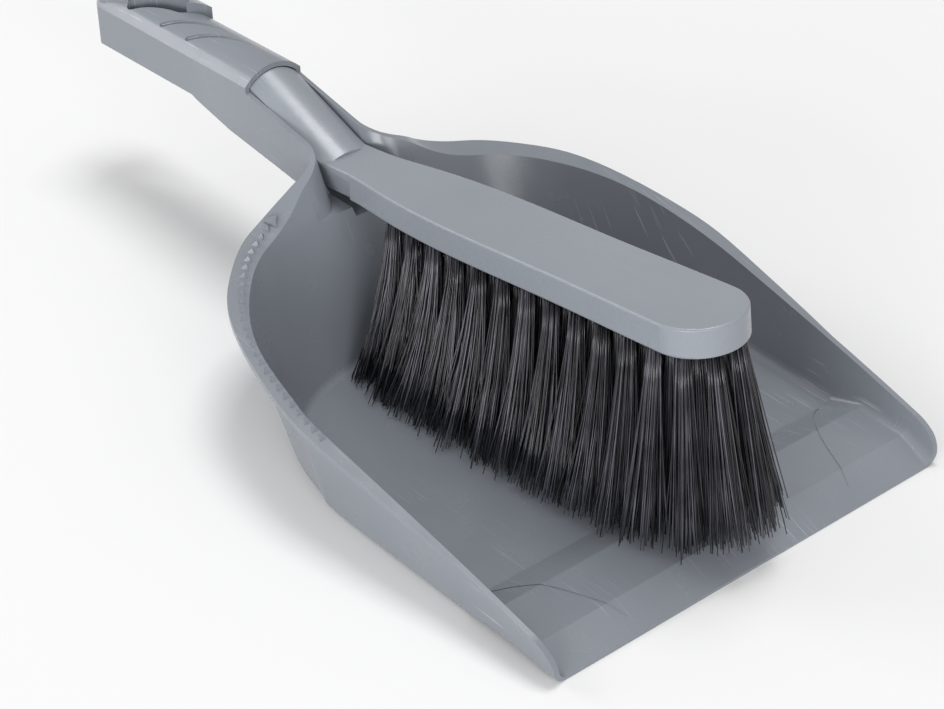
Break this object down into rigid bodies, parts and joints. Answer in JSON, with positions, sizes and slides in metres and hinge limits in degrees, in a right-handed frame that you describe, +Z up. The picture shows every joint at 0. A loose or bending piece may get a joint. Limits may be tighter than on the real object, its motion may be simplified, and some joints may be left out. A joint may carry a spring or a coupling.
{
  "type": "dust pan and brush set",
  "caption": "Grey plastic dust pan with a hollow handle that holds the handle of a matching hand brush with stiff black bristle tufts.",
  "frame": {"origin": "centre of the footprint of the whole set, on the surface it stands on", "axes": "+Y from the lip of the pan towards the end of its handle, +Z up, +X to the right seen from the lip"},
  "size_m": [0.2156, 0.403, 0.1015],
  "materials": {
    "pan_plastic": "grey moulded polypropylene, glossy",
    "brush_plastic": "grey moulded polypropylene, satin",
    "bristle": "black extruded filament",
    "anchor_steel": "flat steel strip"
  },
  "bodies": {
    "pan": {"dustpan": "pan_plastic"},
    "brush": {"brush_body": "brush_plastic", "tuft_anchors": "anchor_steel", "toe_tuft_left_corner": "bristle", "toe_tuft_left_front": "bristle", "toe_tuft_left_inner": "bristle", "toe_tuft_right_corner": "bristle", "toe_tuft_right_front": "bristle", "toe_tuft_right_inner": "bristle", "tuft_01_left_inner": "bristle", "tuft_01_left_outer": "bristle", "tuft_01_right_inner": "bristle", "tuft_01_right_outer": "bristle", "tuft_02_left_inner": "bristle", "tuft_02_left_outer": "bristle", "tuft_02_right_inner": "bristle", "tuft_02_right_outer": "bristle", "tuft_03_left_inner": "bristle", "tuft_03_left_outer": "bristle", "tuft_03_right_inner": "bristle", "tuft_03_right_outer": "bristle", "tuft_04_left_inner": "bristle", "tuft_04_left_outer": "bristle", "tuft_04_right_inner": "bristle", "tuft_04_right_outer": "bristle", "tuft_05_left_inner": "bristle", "tuft_05_left_outer": "bristle", "tuft_05_right_inner": "bristle", "tuft_05_right_outer": "bristle", "tuft_06_left_inner": "bristle", "tuft_06_left_outer": "bristle", "tuft_06_right_inner": "bristle", "tuft_06_right_outer": "bristle", "tuft_07_left_inner": "bristle", "tuft_07_left_outer": "bristle", "tuft_07_right_inner": "bristle", "tuft_07_right_outer": "bristle", "tuft_08_left_inner": "bristle", "tuft_08_left_outer": "bristle", "tuft_08_right_inner": "bristle", "tuft_08_right_outer": "bristle", "tuft_09_left_inner": "bristle", "tuft_09_left_outer": "bristle", "tuft_09_right_inner": "bristle", "tuft_09_right_outer": "bristle", "tuft_10_left_inner": "bristle", "tuft_10_left_outer": "bristle", "tuft_10_right_inner": "bristle", "tuft_10_right_outer": "bristle", "tuft_11_left_inner": "bristle", "tuft_11_left_outer": "bristle", "tuft_11_right_inner": "bristle", "tuft_11_right_outer": "bristle", "tuft_12_left_inner": "bristle", "tuft_12_left_outer": "bristle", "tuft_12_right_inner": "bristle", "tuft_12_right_outer": "bristle"}
  },
  "joints": [
    {"name": "brush_slide", "type": "slide", "parent": "pan", "child": "brush", "axis": [0, -0.9987, 0.0506], "range_m": [0, 0.065]}
  ]
}
